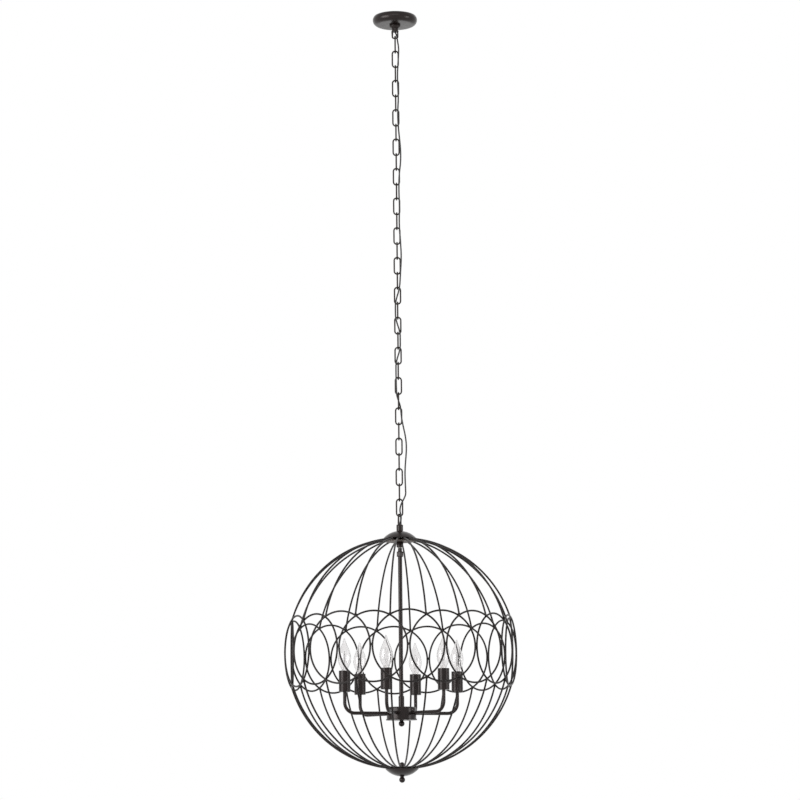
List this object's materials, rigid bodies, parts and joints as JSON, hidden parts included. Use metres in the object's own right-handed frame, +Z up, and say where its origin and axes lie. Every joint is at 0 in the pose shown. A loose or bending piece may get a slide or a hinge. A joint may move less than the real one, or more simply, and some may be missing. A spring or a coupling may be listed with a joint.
{
  "type": "orb chandelier",
  "caption": "Hanging chandelier: chain and canopy carry a welded wire orb with a band of overlapping rings round a cluster of candle-style lamps.",
  "frame": {"origin": "in the ceiling plane, at the middle of the mounting strap's two screw slots, on the vertical axis through canopy, chain and orb", "axes": "+Z up into the ceiling, the object hangs to -Z; +X to the right and -Y towards the viewer of the reference picture"},
  "size_m": [0.6104, 0.6, 2.0554],
  "materials": {
    "bronze_paint": "dark oil-rubbed bronze baked enamel, semi-gloss",
    "bronze_chain": "dark bronze lacquer on formed steel wire, satin",
    "bronze_wire": "dark bronze baked enamel on round wire, semi-gloss",
    "plate_enamel": "dark bronze baked enamel, flat disc, satin",
    "zinc_steel": "zinc-plated pressed steel, dull",
    "zinc_thread": "zinc-plated threaded steel tube and nuts, dull",
    "green_screw": "green-painted grounding screw",
    "cord_sleeve": "black flexible lamp cord, matt",
    "connector_plastic": "orange moulded wire connector",
    "holder_phenolic": "black phenolic lampholder",
    "lamp_glass": "clear blown glass",
    "lamp_base": "rolled brass screw shell"
  },
  "bodies": {
    "ceiling_set": {"mounting_strap": "zinc_steel", "ground_screw": "green_screw", "canopy_nipple": "zinc_thread", "canopy_locknut": "zinc_thread", "canopy": "bronze_paint", "screw_collar": "bronze_paint", "canopy_loop": "bronze_paint", "cord_in_nipple": "cord_sleeve", "cord_at_canopy": "cord_sleeve"},
    "upper_link": {"first_link": "bronze_chain", "cord_at_first_link": "cord_sleeve"},
    "chain": {"chain_links": "bronze_chain", "cord_on_chain": "cord_sleeve"},
    "lower_link": {"last_link": "bronze_chain", "cord_at_last_link": "cord_sleeve"},
    "orb": {"arm_1": "bronze_paint", "arm_2": "bronze_paint", "arm_3": "bronze_paint", "arm_4": "bronze_paint", "arm_5": "bronze_paint", "arm_6": "bronze_paint", "bottom_cap": "bronze_paint", "bottom_dome_nut": "bronze_paint", "bottom_finial": "bronze_paint", "bottom_plate": "plate_enamel", "bottom_rod": "zinc_thread", "cord_at_orb": "cord_sleeve", "cord_in_stem": "cord_sleeve", "hub_body": "bronze_paint", "hub_connectors": "connector_plastic", "hub_cover": "bronze_paint", "hub_finial": "bronze_paint", "hub_locknut": "zinc_thread", "hub_nipple": "zinc_thread", "inner_rings": "bronze_wire", "lampholders": "holder_phenolic", "lower_ribs": "bronze_wire", "orb_loop": "bronze_paint", "outer_rings": "bronze_wire", "socket_cups": "bronze_paint", "stem": "bronze_paint", "stem_coupling": "bronze_paint", "stem_nut": "bronze_paint", "top_cap": "bronze_paint", "top_coupling": "bronze_paint", "top_nipple": "zinc_thread", "top_plate": "plate_enamel", "upper_ribs": "bronze_wire"},
    "lamp_1": {"bulb_glass_1": "lamp_glass", "bulb_base_1": "lamp_base"},
    "lamp_2": {"bulb_glass_2": "lamp_glass", "bulb_base_2": "lamp_base"},
    "lamp_3": {"bulb_glass_3": "lamp_glass", "bulb_base_3": "lamp_base"},
    "lamp_4": {"bulb_glass_4": "lamp_glass", "bulb_base_4": "lamp_base"},
    "lamp_5": {"bulb_glass_5": "lamp_glass", "bulb_base_5": "lamp_base"},
    "lamp_6": {"bulb_glass_6": "lamp_glass", "bulb_base_6": "lamp_base"}
  },
  "joints": [
    {"name": "canopy_loop_swing", "type": "hinge", "parent": "ceiling_set", "child": "upper_link", "pos_m": [0, 0, -0.0601], "axis": [1, 0, 0], "range_deg": [-40, 40], "deforming": ["cord_at_canopy"]},
    {"name": "upper_link_swing", "type": "hinge", "parent": "upper_link", "child": "chain", "pos_m": [0, 0, -0.1005], "axis": [0, 1, 0], "range_deg": [-40, 40], "deforming": ["cord_at_first_link"]},
    {"name": "lower_link_swing", "type": "hinge", "parent": "chain", "child": "lower_link", "pos_m": [0, 0, -1.3185], "axis": [0, 1, 0], "range_deg": [-30, 30], "deforming": ["cord_at_last_link"]},
    {"name": "orb_loop_swing", "type": "hinge", "parent": "lower_link", "child": "orb", "pos_m": [0, 0, -1.3591], "axis": [1, 0, 0], "range_deg": [-30, 30], "deforming": ["cord_at_orb"]},
    {"name": "bulb_turn_1", "type": "hinge", "parent": "orb", "child": "lamp_1", "pos_m": [0.14681, 0.04127, -1.7783], "axis": [0, 0, 1], "continuous": true},
    {"name": "bulb_turn_2", "type": "hinge", "parent": "orb", "child": "lamp_2", "pos_m": [0.03767, 0.14777, -1.7783], "axis": [0, 0, 1], "continuous": true},
    {"name": "bulb_turn_3", "type": "hinge", "parent": "orb", "child": "lamp_3", "pos_m": [-0.10914, 0.10651, -1.7783], "axis": [0, 0, 1], "continuous": true},
    {"name": "bulb_turn_4", "type": "hinge", "parent": "orb", "child": "lamp_4", "pos_m": [-0.14681, -0.04127, -1.7783], "axis": [0, 0, 1], "continuous": true},
    {"name": "bulb_turn_5", "type": "hinge", "parent": "orb", "child": "lamp_5", "pos_m": [-0.03767, -0.14777, -1.7783], "axis": [0, 0, 1], "continuous": true},
    {"name": "bulb_turn_6", "type": "hinge", "parent": "orb", "child": "lamp_6", "pos_m": [0.10914, -0.10651, -1.7783], "axis": [0, 0, 1], "continuous": true}
  ]
}
